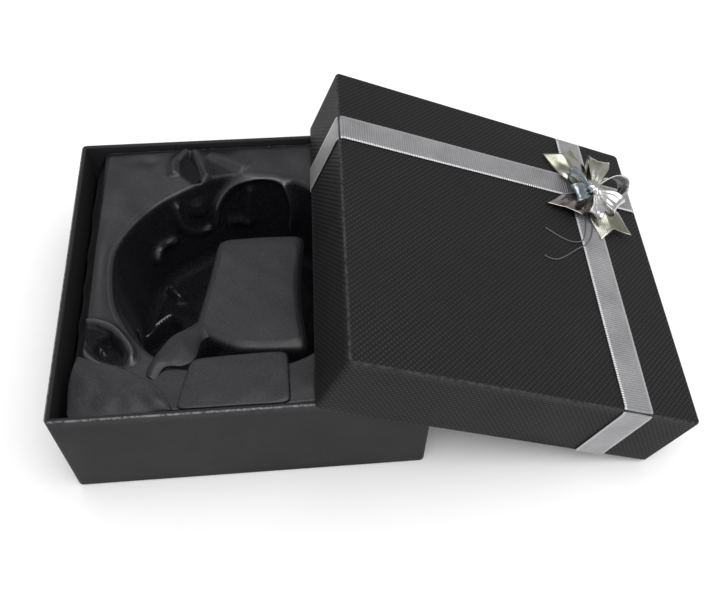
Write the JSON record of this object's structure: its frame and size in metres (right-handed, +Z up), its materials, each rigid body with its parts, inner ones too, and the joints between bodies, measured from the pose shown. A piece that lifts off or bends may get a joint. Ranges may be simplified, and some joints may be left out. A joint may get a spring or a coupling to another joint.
{
  "type": "jewelry gift box",
  "caption": "Square paper-wrapped gift box with a satin bangle insert, its ribboned lid leaning on the tray's rim; the lid lifts off and the insert's tongue swings up.",
  "frame": {"origin": "middle of the tray's underside, where it stands on the table", "axes": "+X from the tray towards the leaning lid, +Y from the strap of the insert to the back of the tray, +Z up out of the tray"},
  "size_m": [0.1608, 0.0978, 0.0549],
  "materials": {
    "board": "plain black-dyed board",
    "tape": "gummed paper tape",
    "wrap": "fine embossed black wrapping paper",
    "base_sheet": "plain black paper",
    "card": "plain black card",
    "satin": "charcoal satin",
    "foam": "soft open-cell foam",
    "grosgrain": "silver lurex grosgrain ribbon",
    "foil_ribbon": "silver metallic foil ribbon",
    "glue": "clear hot glue",
    "thread": "fine nylon thread"
  },
  "bodies": {
    "tray": {"tray_board": "board", "tray_corner_stays": "tape", "tray_wrap": "wrap", "tray_base_sheet": "base_sheet", "platform_card": "card", "insert_satin": "satin", "strap_card": "card", "strap_satin": "satin"},
    "tongue": {"tongue_card": "card", "tongue_foam": "foam", "tongue_satin": "satin"},
    "lid": {"lid_board": "board", "lid_corner_stays": "tape", "lid_wrap": "wrap", "long_ribbon": "grosgrain", "cross_ribbon": "grosgrain", "bow_glue": "glue", "bow_tails": "foil_ribbon", "bow_loops": "foil_ribbon", "bow_knot": "foil_ribbon", "thread_end_left": "thread", "thread_end_front": "thread"}
  },
  "joints": [
    {"name": "tongue_lift", "type": "hinge", "parent": "tray", "child": "tongue", "pos_m": [0, -0.0255, 0.0296], "axis": [1, 0, 0], "range_deg": [0, 35]},
    {"name": "lid_lift", "type": "slide", "parent": "tray", "child": "lid", "axis": [0, 0, 1], "range_m": [0, 0.07]}
  ]
}
